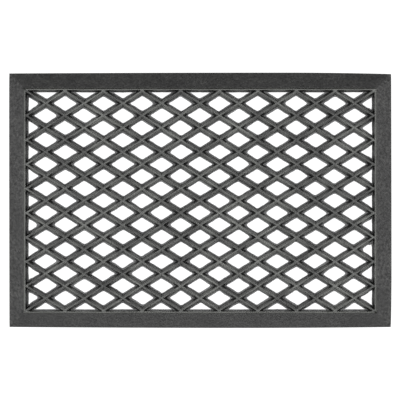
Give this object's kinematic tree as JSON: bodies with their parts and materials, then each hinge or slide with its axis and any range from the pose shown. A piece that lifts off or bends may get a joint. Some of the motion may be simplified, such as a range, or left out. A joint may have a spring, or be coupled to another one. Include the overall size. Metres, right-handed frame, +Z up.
{
  "type": "door mat",
  "caption": "Rectangular rubber scraper door mat with a sloping border, a raised rim and an open diamond lattice that lets dirt and water through.",
  "frame": {"origin": "centre of the underside, on the floor", "axes": "+X along the longest side, to the right as the mat is seen from the front, +Y to the back, +Z up through its thickness"},
  "size_m": [0.6, 0.4, 0.012],
  "materials": {
    "ramp_rubber": "matt black-grey moulded rubber with a fine pitted grain",
    "rim_rubber": "slightly lighter moulded rubber, smoothed along the raised rim",
    "lattice_rubber": "moulded rubber, lighter on the ridges and darker on the drafted sides"
  },
  "bodies": {
    "root": {"border_ramp_front": "ramp_rubber", "border_ramp_right": "ramp_rubber", "border_ramp_back": "ramp_rubber", "border_ramp_left": "ramp_rubber", "rim_strip_front": "rim_rubber", "rim_strip_right": "rim_rubber", "rim_strip_back": "rim_rubber", "rim_strip_left": "rim_rubber", "rising_bar_01": "lattice_rubber", "rising_bar_02": "lattice_rubber", "rising_bar_03": "lattice_rubber", "rising_bar_04": "lattice_rubber", "rising_bar_05": "lattice_rubber", "rising_bar_06": "lattice_rubber", "rising_bar_07": "lattice_rubber", "rising_bar_08": "lattice_rubber", "rising_bar_09": "lattice_rubber", "rising_bar_10": "lattice_rubber", "rising_bar_11": "lattice_rubber", "rising_bar_12": "lattice_rubber", "rising_bar_13": "lattice_rubber", "rising_bar_14": "lattice_rubber", "rising_bar_15": "lattice_rubber", "rising_bar_16": "lattice_rubber", "rising_bar_17": "lattice_rubber", "falling_bar_01": "lattice_rubber", "falling_bar_02": "lattice_rubber", "falling_bar_03": "lattice_rubber", "falling_bar_04": "lattice_rubber", "falling_bar_05": "lattice_rubber", "falling_bar_06": "lattice_rubber", "falling_bar_07": "lattice_rubber", "falling_bar_08": "lattice_rubber", "falling_bar_09": "lattice_rubber", "falling_bar_10": "lattice_rubber", "falling_bar_11": "lattice_rubber", "falling_bar_12": "lattice_rubber", "falling_bar_13": "lattice_rubber", "falling_bar_14": "lattice_rubber", "falling_bar_15": "lattice_rubber", "falling_bar_16": "lattice_rubber", "falling_bar_17": "lattice_rubber"}
  },
  "joints": []
}
